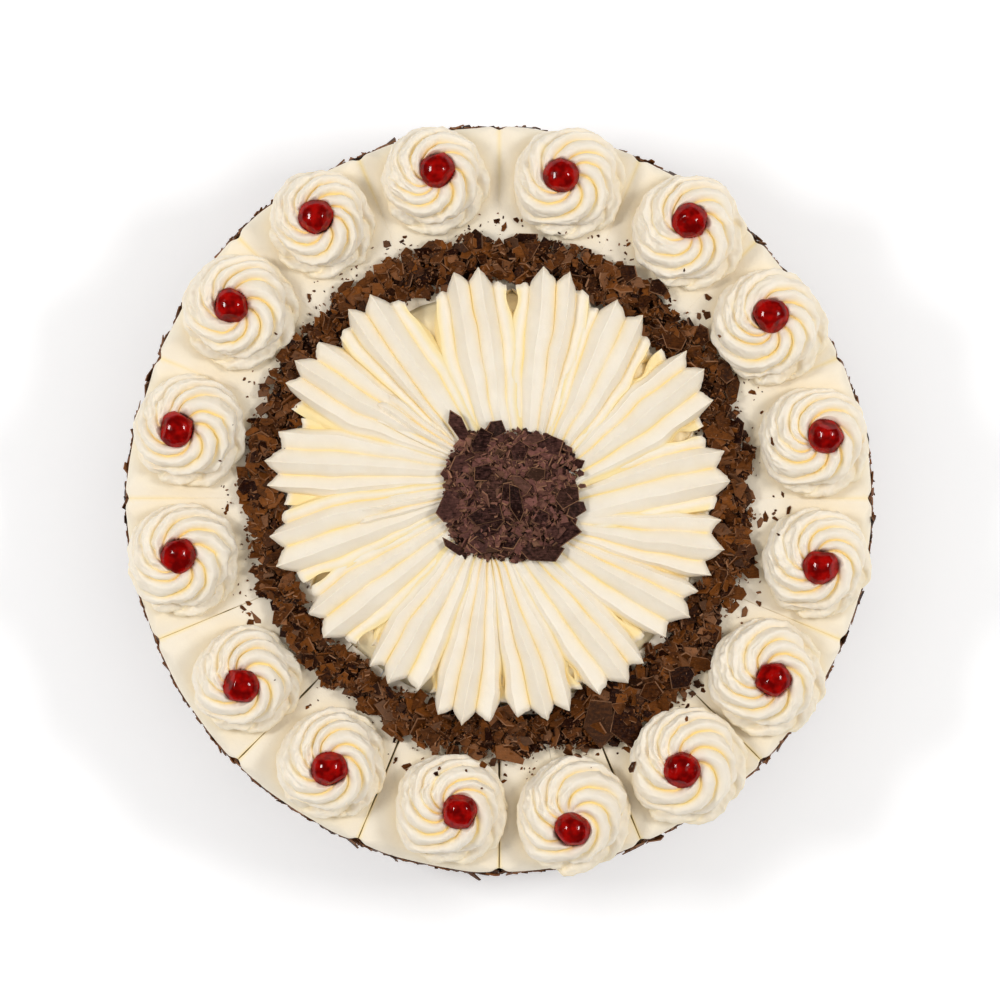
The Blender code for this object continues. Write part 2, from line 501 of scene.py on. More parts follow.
@dataclass
class Slices:
    """Sixteen wedges of iced cake with soft rims and a knife's cut between neighbours."""

    count: int = 16
    columns: int = 150
    rim_round: float = 4.6 * MM
    cut_round: float = 0.25 * MM
    corner: float = 1.4 * MM
    half_gap: float = -0.04 * MM
    inner_end: float = 3 * MM
    side_share: float = 0.34
    gape_from: float = 0.80
    foot_tuck: float = 0.8 * MM
    wall_rows: tuple[float, ...] = (0.0, 0.12, 0.35, 0.6, 0.8, 0.87, 0.94, 1.0)
    round_rows: int = 9
    top_rows: int = 18
    open_side: float = math.radians(-95)
    widest_cut: float = 0.80 * MM
    flake_coat: float = 1.8 * MM
    dent_at: float = math.radians(42)
    dent_width: float = math.radians(27)
    dent_depth: float = 2.6 * MM
    dip_width: float = 3.2 * MM
    dip_depth: float = 0.75 * MM
    rim_fall: float = 0.8 * MM
    seam_width: float = 0.9 * MM
    # painted warm shade round each rosette's foot, where the rosette shuts out light
    painted_rosette_shade: float = 0.22

    def __post_init__(self) -> None:
        """Reads the cake's size from the solids."""
        low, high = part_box("slice_01")
        self.base = low.z
        self.height = high.z
        self.radius = high.x - self.flake_coat

    def rim_radius(self, angle: Array) -> Array:
        """The cream's radius: a little pressed in on the upper right, and wavy all round."""
        dent = self.dent_depth * bell(turned(angle - self.dent_at), self.dent_width)
        wave = 0.9 * MM * ring_lumps(angle, 3.0, 5) + 0.35 * MM * ring_lumps(angle, 14.0, 6)
        return self.radius - dent + wave

    def cuts(self, number: int) -> tuple[float, float]:
        """The angles of the slice's two cuts."""
        step = TAU / self.count
        return number * step, (number + 1) * step

    def opening(self, cut: float) -> float:
        """How wide the cut at that angle gapes at the top. The cuts stand open on one side of the cake."""
        return self.widest_cut * max(0.0, math.cos(cut - self.open_side)) ** 1.5

    def outline(self, number: int, across: Array) -> tuple[Array, Array]:
        """The slice's outline from above.

        Args:
            number: which slice.
            across: how far round the outline, from 0 to 1.

        Returns:
            The X and Y of each point, and how much it lies on the rim, from 0 at the cuts to 1.
        """
        low_cut, high_cut = self.cuts(number)
        step = high_cut - low_cut
        run = np.minimum(np.minimum(across, 1 - across) / self.side_share, 1.0)
        share = np.clip((across - self.side_share) / (1 - 2 * self.side_share), 0, 1)
        half = math.asin(self.half_gap / self.radius)
        angle = low_cut + half + share * (step - 2 * half)
        rim = self.rim_radius(angle)
        to_corner = np.minimum(share, 1 - share) * step * rim
        pulled = self.corner * (1 - ease(0, 3 * self.corner, to_corner)) ** 1.5
        radius = self.inner_end + (rim - pulled - self.inner_end) * run**0.8
        first, last = across < self.side_share, across > 1 - self.side_share
        cut = np.where(first, low_cut, high_cut)
        gap = np.where(first, self.half_gap, -self.half_gap)
        x = np.where(first | last, radius * np.cos(cut) - gap * np.sin(cut), radius * np.cos(angle))
        y = np.where(first | last, radius * np.sin(cut) + gap * np.cos(cut), radius * np.sin(angle))
        return np.stack((x, y), axis=-1), np.where(first | last, 0.0, ease(0, 9 * MM, to_corner))

    def build(self, number: int) -> bpy.types.Object:
        """Models one slice: its walls, its rounded edges and its uneven top."""
        rows = len(self.wall_rows) + self.round_rows + self.top_rows - 1
        piece, across, _ = add_sheet(f"iced_slice_{number + 1:02d}", self.columns, rows)
        line, on_rim = self.outline(number, across[0])
        on_rim = on_rim[:, None]
        middle = line.mean(axis=0) * 1.1
        inward = (middle - line) / np.linalg.norm(middle - line, axis=-1, keepdims=True)
        radial = -line / np.linalg.norm(line, axis=-1, keepdims=True)
        inward = inward * (1 - on_rim) + radial * on_rim
        first = np.arange(self.columns + 1)[:, None] < self.columns / 2
        gape = np.where(first, *map(self.opening, self.cuts(number))) / 2
        gape *= 1 + 0.6 * lumps(np.append(line, 0 * line[:, :1], axis=1), 6 * MM, 34)[:, None]
        bend = self.cut_round + gape + (self.rim_round - self.cut_round - gape) * on_rim
        layers = self.layers(line, inward, on_rim, gape * (1 - on_rim), bend)
        edge, middle = layers[-1], np.array((*middle, self.height))
        for i in range(1, self.top_rows + 1):
            layers.append(edge + (middle - edge) * (i / self.top_rows) ** 1.25)
        points = self.soften(number, np.stack(layers))
        move_points(piece, points)
        # painted warm shade down in the cuts and round the rosette
        mark(piece, Mark.DEEP, self.cut_shade(number, points))
        mark(piece, Mark.STAIN, 0.0)
        close_up(piece)
        return piece

    def layers(self, line: Array, inward: Array, on_rim: Array, gape: Array, bend: Array) -> list[Array]:
        """The rows of points up the slice's wall and over its rounded edge.

        Args:
            line: the X and Y of the outline.
            inward: the way into the slice from each point.
            on_rim: how much each point lies on the rim.
            gape: how far the cut stands open at the top.
            bend: how wide the rounded edge is.

        Returns:
            The rows from the foot up, each with a line for each point.
        """
        layers = []
        for share in self.wall_rows:
            level = self.base + share * (self.height - bend - self.base)
            tuck = self.foot_tuck * (share == 0) * on_rim + gape * ease(self.gape_from, 1.0, np.array(share))
            layers.append(np.concatenate((line + inward * tuck, level), axis=1))
        for i in range(1, self.round_rows + 1):
            turn = math.pi / 2 * i / self.round_rows
            shift = gape + bend * (1 - math.cos(turn))
            level = self.height - bend * (1 - math.sin(turn))
            layers.append(np.concatenate((line + inward * shift, level), axis=1))
        return layers

    def cut_distance(self, number: int, points: Array) -> Array:
        """How far each point is from the nearer of the slice's two cuts."""
        distance = np.full(points.shape[:-1], 1.0)
        for cut in self.cuts(number):
            away = np.abs(points[..., 0] * math.sin(cut) - points[..., 1] * math.cos(cut))
            distance = np.minimum(distance, away)
        return distance

    def soften(self, number: int, points: Array) -> Array:
        """Adds the palette knife's waves and the dips beside the cuts."""
        radius = np.hypot(points[..., 0], points[..., 1])
        near_top = ease(self.height - 6 * MM, self.height - 1 * MM, points[..., 2])
        outer = ease(0.6 * self.radius, self.radius, radius)
        dip = self.dip_depth * bell(self.cut_distance(number, points), self.dip_width) * (0.35 + outer)
        fall = self.rim_fall * outer**2
        wave = 0.34 * MM * lumps(points, 17 * MM, 31) + 0.17 * MM * lumps(points, 6 * MM, 32)
        wave = wave + 0.055 * MM * lumps(points * (1, 1, 0.3), 1.7 * MM, 33)
        moved = points.copy()
        moved[..., 2] += near_top * (wave - dip - fall)
        return moved

    def cut_shade(self, number: int, points: Array) -> Array:
        """How much painted warm shade the cream gets: most of all down in the cuts, and a little round the
        rosette's foot.
        """
        depth = ease(0.2 * MM, 2.5 * MM, self.height - points[..., 2])
        # painted warm shade down in the cuts, growing with depth
        seam = 0.8 * depth * bell(self.cut_distance(number, points), self.seam_width)
        # painted warm shade round the rosette's foot
        low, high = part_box(f"rosette_{number + 1:02d}")
        middle, radius = (low + high) / 2, (high.x - low.x) / 2
        away = np.hypot(points[..., 0] - middle.x, points[..., 1] - middle.y) - radius
        return np.maximum(seam, self.painted_rosette_shade * np.exp(-np.maximum(away, 0) / (5 * MM)))

    def make(self, looks: Looks) -> None:
        """Builds and dresses every slice."""
        for number in range(self.count):
            settle(self.build(number), Slot.ICED_SLICE, looks.icing, f"slice_{number + 1:02d}")


@dataclass
class Rosette:
    """A swirl piped through a star nozzle: arms that wind outwards over a wider first turn."""

    number: int
    arms: int = 8
    columns_per_arm: int = 28
    rows: int = 84
    wind: float = 2.15
    straight_at: float = 0.55
    crowd: float = 0.20
    crowd_at: float = math.radians(150)
    arm_depth: float = 3.4 * MM
    skirt_from: float = math.radians(-128)
    skirt_to: float = math.radians(28)
    fold_at: float = 1.17
    fold_width: float = 0.035
    groove_width: float = 0.65 * MM
    mess_side: float = math.radians(160)
    mess_width: float = math.radians(42)
    cherry_touch: float = 0.92
    bed_slope: float = 1.3
    sunk: float = 0.6 * MM
    CROWN = ((0.50, 0.975), (0.38, 1.00), (0.24, 0.96), (0.10, 0.90), (0.00, 0.88))
    TIERED = (
        *((0.84, 0.00), (0.97, 0.07), (1.00, 0.17), (0.955, 0.26), (0.845, 0.30)),
        *((0.765, 0.36), (0.795, 0.46), (0.785, 0.60), (0.715, 0.76), (0.62, 0.89)),
        *CROWN,
    )
    PLAIN = (
        *((0.84, 0.00), (0.94, 0.07), (0.975, 0.16), (0.985, 0.25), (0.975, 0.33)),
        *((0.960, 0.41), (0.930, 0.51), (0.875, 0.64), (0.775, 0.78), (0.64, 0.89)),
        *CROWN,
    )

    def __post_init__(self) -> None:
        """Reads the rosette's and its cherry's places from the solids."""
        low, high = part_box(f"rosette_{self.number:02d}")
        self.middle = (low + high) / 2
        self.foot = low.z - self.sunk
        self.height = high.z - self.foot
        self.radius = (high.x - low.x + high.y - low.y) / 4
        low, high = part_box(f"cherry_{self.number:02d}")
        self.cherry = (low + high) / 2
        self.cherry_radius = (high.z - low.z) / 2
        self.chance = np.random.default_rng(400 + self.number)
        self.start = self.chance.uniform(0, TAU)
        self.skirt_turn = self.chance.uniform(-0.3, 0.3)
        self.skirt_size = self.chance.uniform(0.75, 1.25)
        self.mess_at = self.mess_side + self.chance.uniform(-0.3, 0.3)

    def build(self) -> bpy.types.Object:
        """Models the swirl on a sheet whose columns wind with the arms."""
        columns = self.arms * self.columns_per_arm
        piece, across, along = add_sheet(f"cream_rosette_{self.number:02d}", columns, self.rows)
        place = along * (len(self.PLAIN) - 1)
        travel = self.travel(place[:, 0])[:, None] + 0 * across
        wound = across * self.arms
        angle = self.turn_of(TAU * across + self.start) - self.wind * (travel - self.straight_at)
        skirt = self.skirt_share(angle)[..., None]
        profile = smooth_curve(self.PLAIN, place) * (1 - skirt) + smooth_curve(self.TIERED, place) * skirt
        swell = 1 + 0.040 * ring_lumps(angle, 1.3, 50 + self.number)
        swell = swell + 0.018 * ring_lumps(angle, 6, 70 + self.number)
        out = profile[..., 0] * self.radius * swell
        up = profile[..., 1] * self.height
        rise = np.gradient(up, axis=0)
        run = np.gradient(out, axis=0)
        length = np.hypot(rise, run) + 1e-9
        spots = polar(out, angle, up)
        relief, painted_crease_shade = self.arms_relief(wound + 0.5 * skirt[..., 0] * ease(1.12, 1.20, travel), travel, out)
        messy = bell(turned(angle - self.mess_at), self.mess_width) * ease(0.22, 0.45, travel)
        relief, painted_crease_shade = relief * (1 - 0.55 * messy), painted_crease_shade * (1 - 0.6 * messy)
        relief = relief + messy * self.mess(wound, travel, spots) + self.rags(spots, wound, travel)
        ragged = 0.45 * MM * skirt[..., 0] * lumps(spots, 2.4 * MM, 180 + self.number)
        relief = relief + ragged * (travel > 0.85)
        relief *= ease(0.0, 0.08, along) * ease(0.0, 1.5 * MM, out)
        out = out + relief * rise / length
        up = up - relief * run / length
        points = polar(out, angle, up) + (self.middle.x, self.middle.y, self.foot)
        points = self.seat_cherry(points)
        move_points(piece, points)
        # painted warm shade: in the grooves, in the notch under the upper tier, and low down near the foot
        painted_fold_shade = 0.45 * skirt[..., 0] * bell(travel - self.fold_at, self.fold_width)
        low = np.maximum(0.30 * (1 - ease(1.0 * MM, 7.0 * MM, points[..., 2] - self.foot)), painted_fold_shade)
        mark(piece, Mark.DEEP, np.maximum(painted_crease_shade, low))
        mark(piece, Mark.STAIN, self.stain(points))
        close_up(piece)
        return piece

    def skirt_share(self, angle: Array) -> Array:
        """How much the first turn shows below the second, by direction."""
        middle = (self.skirt_from + self.skirt_to) / 2 + self.skirt_turn
        half = (self.skirt_to - self.skirt_from) / 2 * self.skirt_size
        return 1 - ease(0.75, 1.25, np.abs(turned(angle - middle)) / half)

    def turn_of(self, wound: Array) -> Array:
        """The direction of a place round the arms, which crowd together on one side."""
        turn = wound
        for _ in range(6):
            turn = wound - self.crowd * np.sin(turn - self.crowd_at)
        return turn

    def travel(self, place: Array) -> Array:
        """The way from the middle over the rosette's surface to each place on its profile, in radii."""
        line = smooth_curve(self.PLAIN, place)
        line[:, 1] *= self.height / self.radius
        pieces = np.linalg.norm(np.diff(line, axis=0), axis=1)
        return np.append(np.cumsum(pieces[::-1])[::-1], 0)

    def arms_relief(self, wound: Array, travel: Array, out: Array) -> tuple[Array, Array]:
        """The arms' height over the profile, and how much painted warm shade each point gets in and beside the
        grooves, from 0 to 1.
        """
        uneven = self.chance.uniform(-0.20, 0.20, self.arms)
        wound = wound + np.interp(wound % self.arms, np.arange(self.arms), uneven, period=self.arms)
        share = wound % 1
        arm = np.floor(wound).astype(int) % self.arms
        crest = 0.42 - 0.16 * ease(0.40, 0.90, travel)
        away = np.where(share < crest, (crest - share) / crest, (share - crest) / (1 - crest))
        width = TAU * np.maximum(out, 0.1 * self.radius) / self.arms
        size = self.arm_depth * ease(0.05, 0.28, travel) * (1 - 0.35 * ease(0.75, 1.15, travel))
        size = np.minimum(size, 0.48 * width) * self.chance.uniform(0.70, 1.20, self.arms)[arm]
        rounded = 0.75 * (1 - away**2.4) + 0.25 * (1 - away)
        to_groove = (1 - away) * width * np.where(share < crest, crest, 1 - crest)
        relief = size * (rounded - 0.60)
        shown = ease(0.08, 0.25, travel) * (1 - 0.75 * ease(0.60, 1.0, travel))
        # painted warm shade: a thin line in each groove, and a soft gradient up the arm beside it
        painted_crease_shade = (0.85 * bell(to_groove, self.groove_width) + 0.42 * away**3) * shown
        return relief, painted_crease_shade

    def mess(self, wound: Array, travel: Array, spots: Array) -> Array:
        """The crumpled folds where the nozzle crossed its own start."""
        folds = np.abs((wound * 1.5 + 1.8 * travel + 0.9 * lumps(spots, 6 * MM, 60 + self.number)) % 1 - 0.5)
        crumple = lumps(spots, 3.2 * MM, 80 + self.number)
        torn = lumps(spots, 1.3 * MM, 90 + self.number)
        return (1 - ease(0.85, 1.15, travel)) * MM * (2.6 * (folds - 0.25) + 1.3 * crumple + 0.5 * torn)

    def rags(self, spots: Array, wound: Array, travel: Array) -> Array:
        """Fine tears across the arms, and softness: most at the rim, least on the crown."""
        across = np.stack((travel * self.radius / (1.0 * MM), wound * 1.6, 0 * wound), axis=-1)
        teeth = lumps(across, 1.0, 100 + self.number) * ease(0.35, 0.6, wound % 1)
        torn = lumps(spots * (1, 1, 1.6), 1.5 * MM, 110 + self.number)
        soft = lumps(spots, 4.5 * MM, 120 + self.number)
        rim = ease(0.50, 0.95, travel)
        return MM * ((0.09 + 0.26 * rim) * torn + 0.50 * soft + (0.06 + 0.24 * rim) * teeth)

    def seat_cherry(self, points: Array) -> Array:
        """Presses the cherry's bed into the cream, with a soft slope down to it."""
        away = np.hypot(points[..., 0] - self.cherry.x, points[..., 1] - self.cherry.y)
        touch = self.cherry_touch * self.cherry_radius
        under = -np.sqrt(np.maximum(self.cherry_radius**2 - away**2, 0))
        uneven = 0.15 * lumps(points, 2.5 * MM, 140 + self.number) - 0.02
        slope = uneven * self.cherry_radius + self.bed_slope * (away - touch)
        limit = self.cherry.z + np.where(away < touch, under, slope)
        pressed = points.copy()
        pressed[..., 2] = np.minimum(points[..., 2], limit)
        return pressed

    def stain(self, points: Array) -> Array:
        """How much syrup has bled from the cherry into the cream, with a wider faint ring of painted warm light
        over the cherry's shadow.
        """
        away = np.hypot(points[..., 0] - self.cherry.x, points[..., 1] - self.cherry.y)
        reach = self.cherry_radius * (1.10 + 0.10 * lumps(points, 3 * MM, 160 + self.number))
        # the first term is the bled syrup; the second, wider and fainter, is painted warm light over the
        # cherry's shadow
        return 0.36 * (1 - ease(0.86, 1.00, away / reach)) + 0.14 * (1 - ease(0.90, 1.60, away / reach))

    def make(self, looks: Looks) -> bpy.types.Object:
        """Builds and dresses the rosette."""
        piece = self.build()
        settle(piece, Slot.PIPED_CREAM, looks.cream, f"rosette_{self.number:02d}")
        return piece


@dataclass
class Cherry:
    """A candied cherry, a little shrunken and dented."""

    number: int
    subdivisions: int = 5
    flats: int = 7

    def build(self) -> bpy.types.Object:
        """Models the cherry."""
        low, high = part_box(f"cherry_{self.number:02d}")
        middle = (low + high) / 2
        radius = (high.z - low.z) / 2
        deselect()
        bpy.ops.mesh.primitive_ico_sphere_add(subdivisions=self.subdivisions, radius=radius)
        piece = bpy.context.active_object
        piece.name = piece.data.name = f"glazed_cherry_{self.number:02d}"
        points = points_of(piece)
        chance = np.random.default_rng(700 + self.number)
        way = points / radius
        size = radius * (1.03 + 0.05 * lumps(way, 0.9, 200 + self.number) + 0.02 * lumps(way, 0.4, 220))
        for _ in range(self.flats):
            face = chance.normal(size=3) * (1, 1, 0.6)
            face /= np.linalg.norm(face)
            facing = np.maximum(way @ face, 0.05)
            limit = radius * chance.uniform(0.80, 0.95) / facing
            size = size - 0.85 * np.maximum(size - limit, 0)
        points = way * size[:, None] * (1.0, 1.0, 0.93)
        move_points(piece, points + np.array(middle))
        select_only(piece)
        bpy.ops.object.shade_smooth()
        return piece

    def make(self, looks: Looks) -> None:
        """Builds and dresses the cherry."""
        settle(self.build(), Slot.CHERRY_GLAZE, looks.cherry, f"cherry_{self.number:02d}")


@dataclass(frozen=True)
class Stroke:
    """How one stroke of the fan lies, in degrees and millimetres.

    Args:
        angle: where its outer end points.
        reach: how far from the cake's middle its longest point is.
        miss: how far from the cake's middle its line would pass.
        shift: how far the nozzle was turned, in ridges: 0 lays a ridge in the middle and 0.5 a groove.
        points: how long its points are, as a share of the usual length.
        gap: how far out a slot opens between it and the next stroke, or 0 where they meet all along.
    """

    angle: float
    reach: float
    miss: float
    shift: float
    points: float = 1.0
    gap: float = 0.0


@dataclass
class Fan:
    """Sixteen strokes and two patches, drawn inwards one beside another with a wide star nozzle."""

    strokes: tuple[Stroke, ...] = (
        Stroke(7.3, 87.0, 7.5, 0.5, gap=71),
        Stroke(30.3, 90.5, 8.0, 0.0, gap=70),
        Stroke(54.3, 87.0, 11.0, 0.5, gap=65),
        Stroke(75.2, 88.5, 11.0, 0.5, gap=74),
        Stroke(98.7, 86.5, 3.5, 0.5, gap=78),
        Stroke(126.2, 90.5, 0.0, 0.5),
        Stroke(145.5, 92.0, 6.0, 0.0),
        Stroke(169.5, 88.5, 9.0, 0.0),
        Stroke(192.5, 87.5, 5.0, 0.5, gap=72),
        Stroke(214.8, 84.5, 1.0, 0.5, gap=72),
        Stroke(240.0, 81.0, 1.0, 0.0, gap=75),
        Stroke(261.5, 86.0, 2.0, 0.0, gap=68),
        Stroke(282.0, 85.0, 8.0, 0.0, gap=70),
        Stroke(303.8, 84.5, 5.0, 0.0, gap=63),
        Stroke(326.7, 84.0, 3.0, 0.0, gap=65),
        Stroke(346.2, 86.0, 7.0, 0.0, gap=72),
        Stroke(143.0, 57.5, 6.0, 0.3, 0.3),
        Stroke(190.5, 53.0, 5.0, 0.5, 0.2),
    )
    columns: int = 100
    rows: int = 84
    front_share: float = 0.12
    half_width: float = 17.2 * MM
    full_width_at: float = 82 * MM
    ridge_pitch: float = math.radians(35)
    ridge_depth: float = 4.6 * MM
    patches: int = 2
    overlap: float = 1.34
    crowding: float = 0.6
    bed_share: float = 0.54
    slot_depth: float = 0.31
    bed_end: float = 78 * MM
    slot_half_length: float = 4.5 * MM
    tip_length: float = 4.8 * MM
    overhang: float = 1.8 * MM
    hole_overlap: float = 3.5 * MM
    groove_width: float = 0.45 * MM
    crest_width: float = 0.32 * MM
    wander: float = 0.6 * MM
    sunk: float = 0.5 * MM

    def __post_init__(self) -> None:
        """Reads the fan's height and hole from the solids."""
        low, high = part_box("piped_fan")
        self.foot = low.z - self.sunk
        self.height = high.z - self.foot
        low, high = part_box("flake_pile")
        self.hole = (low + high) / 2
        self.hole_radius = (high.x - low.x) / 2 - self.hole_overlap

    def end_radius(self, stroke: Stroke, across: Array, away: Array, chance: np.random.Generator) -> Array:
        """How far out the stroke ends: in points on its ridges, and shorter and blunter at its sides.

        Args:
            stroke: which stroke.
            across: the place across the stroke, from -1 to 1.
            away: 0 on a ridge and 1 in a groove.
            chance: the stroke's own random numbers.

        Returns:
            The radius in metres.
        """
        side = np.abs(across)
        low = ease(0.62, 0.86, side)
        drop = 2.3 * MM * (side / 0.6) ** 2 * (1 - low) + 8.5 * MM * low
        tilt = chance.uniform(-1.3, 1.3) * MM * across
        tip = self.tip_length * stroke.points * (1 - 0.75 * low) * away**0.92
        uneven = 0.45 * MM * ring_lumps(across * 1.5, 11.0, int(stroke.angle))
        return stroke.reach * MM - (drop + tilt) * stroke.points**0.5 - tip + uneven

    @staticmethod
    def middle_angle(stroke: Stroke, radius: Array) -> Array:
        """The direction of the stroke's middle line at a radius."""
        turn = math.asin(stroke.miss / 80)
        return math.radians(stroke.angle) + turn - np.arcsin(np.clip(stroke.miss * MM / radius, -1, 1))

    def half_angle(self, number: int, across: Array, radius: Array) -> Array:
        """Half the angle that the stroke fills: as far as its neighbours, but no more than the rope's width."""
        count = len(self.strokes) - self.patches
        if number >= count:
            return 0.85 * math.pi / count + 0 * radius
        middle = self.middle_angle(self.strokes[number], radius)
        after = self.middle_angle(self.strokes[(number + 1) % count], radius)
        before = self.middle_angle(self.strokes[number - 1], radius)
        room = np.where(across < 0, (after - middle) % TAU, (middle - before) % TAU)
        half = np.minimum(room / 2 * self.overlap, self.half_width / radius)
        return half * (1 - self.slot(number, across, radius))

    def slot(self, number: int, across: Array, radius: Array) -> Array:
        """How far the stroke's sides are drawn in beside a slot, as a share of its half width."""
        place = np.where(across < 0, self.strokes[number].gap, self.strokes[number - 1].gap) * MM
        near = bell(radius - place, self.slot_half_length) * (place > 0)
        return self.slot_depth * near * np.abs(across) ** 6

    def ridges(self, number: int, across: Array) -> tuple[Array, Array]:
        """Where the star nozzle's ridges lie round the rope.

        Args:
            number: which stroke.
            across: the place across the sheet, from 0 to 1.

        Returns:
            How far round the rope each point is, in radians from its top, and how far from a ridge, from 0 on it
            to 1 in a groove.
        """
        shift = self.strokes[number].shift
        even = (across * 2 - 1) * math.pi / 2 / self.ridge_pitch + shift + 0.5
        place = even - self.crowding * np.sin(2 * TAU * even) / (2 * TAU)
        roll = (place - shift - 0.5 - 0.07 * np.sin(2.2 * place + number)) * self.ridge_pitch
        roll[:, 0], roll[:, -1] = -math.pi / 2, math.pi / 2
        return np.clip(roll, -math.pi / 2, math.pi / 2), np.abs(2 * (place % 1) - 1)

    def ridge_relief(self, away: Array, width: Array, share: Array, merged: Array) -> tuple[Array, Array]:
        """The ridges' height over the rope.

        Args:
            away: 0 on a ridge and 1 in a groove.
            width: how wide a ridge is there.
            share: how wide the rope is there, as a share of its full width.
            merged: how much the neighbouring stroke has run into it, from 0 to 1.

        Returns:
            The height, and how near each point is to a groove's bottom, from 0 to 1.
        """
        depth = self.ridge_depth * (0.14 + 0.86 * share) * (0.72 + 0.28 * ease(0.35, 0.7, share))
        faceted = 0.40 * (1 - away) + 0.15 * (1 - away) ** 3 + 0.45 * (1 - away**2.5)
        groove = bell((1 - away) * width / 2, self.groove_width)
        crest = bell(away * width / 2, self.crest_width)
        line = bell(away - 0.36, 0.09)
        relief = depth * (faceted - 0.80) * (1 - 0.7 * merged)
        relief = relief + MM * (0.36 * crest - 0.16 * line) * share - 0.22 * MM * groove * (1 - merged)
        return relief, groove

    def build_stroke(self, number: int, stroke: Stroke) -> bpy.types.Object:
        """Models one stroke as a ridged rope that narrows inwards."""
        chance = np.random.default_rng(900 + number)
        piece, across, along = add_sheet(f"cream_stroke_{number + 1:02d}", self.columns, self.rows)
        roll, away = self.ridges(number, across)
        across = np.sin(roll)
        end = self.end_radius(stroke, across, away, chance)
        wall = np.clip(along / self.front_share, 0, 1)
        inward = np.clip((along - self.front_share) / (1 - self.front_share), 0, 1) ** 1.25
        middle = math.radians(stroke.angle)
        start = self.hole_radius + self.hole.x * math.cos(middle) + self.hole.y * math.sin(middle)
        radius = end + (start - end) * inward
        back = end - radius
        foot = self.overhang * (1 - wall) ** 1.5
        front = 1 - np.clip(back / (2.2 * MM), 0, 1)
        rise = 0.84 * wall**0.8 + 0.16 * (1 - front**2) * (wall >= 1)
        radius = radius - foot
        half = self.half_angle(number, across, radius)
        bow = 0.014 * np.sin(3.5 * inward + number) * (1 - inward)
        angle = self.middle_angle(stroke, radius) + bow - across * half
        share = radius / self.full_width_at
        swell = self.height * (0.90 - 0.16 * ease(0.5, 1.0, inward) + 0.04 * chance.uniform(-1, 1))
        filled = 0.62 * ease(0.10, 0.85, inward)
        arch = filled + (1 - filled) * np.cos(roll) ** 0.72
        level = swell * arch * rise
        merged = ease(0.50, 0.82, np.abs(across)) * ease(0.04, 0.25, inward)
        relief, groove = self.ridge_relief(away, half * radius * self.ridge_pitch, share, merged)
        spots = polar(radius, angle, level)
        soft = (0.30 + 0.45 * inward) * lumps(spots, 8 * MM, 300 + number)
        soft = soft + 0.10 * lumps(spots, 1.7 * MM, 330 + number)
        out = relief + soft * MM
        angle = angle + self.wander * lumps(spots, 9 * MM, 390 + number) * ease(0.0, 0.3, inward) / radius
        level = level + out * np.cos(roll) ** 0.6 * np.clip(rise * 1.6, 0, 1)
        level = np.where((along == 0) | (along == 1) | (np.abs(across) >= 1), 0, np.maximum(level, 0.02 * MM))
        angle = angle - out * np.sin(roll) * 0.4 / radius
        points = polar(radius, angle, level + self.foot)
        move_points(piece, points)
        # painted warm shade in the ridges' grooves and along the seams with the neighbouring strokes
        shown = ease(0.0, 3 * MM, back)
        seam = ease(0.66, 0.80, np.abs(across))
        patchy = 0.75 + 0.5 * lumps(spots, 10 * MM, 360 + number)
        painted_groove_shade = (0.60 * groove + 0.30 * away**2.2) * shown * patchy
        mark(piece, Mark.DEEP, np.maximum(painted_groove_shade, 0.8 * seam * shown * stroke.points))
        mark(piece, Mark.STAIN, 0.0)
        close_up(piece)
        return piece

    def build_bed(self) -> bpy.types.Object:
        """Models the low cream that the strokes are piped into, seen only down between them."""
        piece, across, along = add_sheet("cream_bed", 256, 28)
        angle = TAU * across
        radius = self.hole_radius + (self.bed_end - self.hole_radius) * along
        shift = (1 - along)[..., None] * (self.hole.x, self.hole.y)
        top = self.height * (self.bed_share - 0.12 * ease(0.45, 0.70, along) - 0.26 * ease(0.86, 1.0, along))
        wall = np.clip(10 * np.minimum(along, 1 - along), 0, 1) ** 0.5
        spots = polar(radius, angle, top)
        spots[..., :2] += shift
        spots[..., 2] = (top + 0.6 * MM * lumps(spots, 4 * MM, 340)) * wall + self.foot
        move_points(piece, spots)
        # painted warm shade on the bed, which shows only down between the strokes
        mark(piece, Mark.DEEP, 0.85 - 0.35 * ease(0.60, 0.88, along))
        mark(piece, Mark.STAIN, 0.0)
        close_up(piece, ring=True)
        return piece

    def make(self, looks: Looks) -> list[bpy.types.Object]:
        """Builds and dresses the strokes."""
        made = [self.build_stroke(number, stroke) for number, stroke in enumerate(self.strokes)]
        made.append(self.build_bed())
        for piece in made:
            settle(piece, Slot.PIPED_CREAM, looks.cream, "piped_fan")
        return made


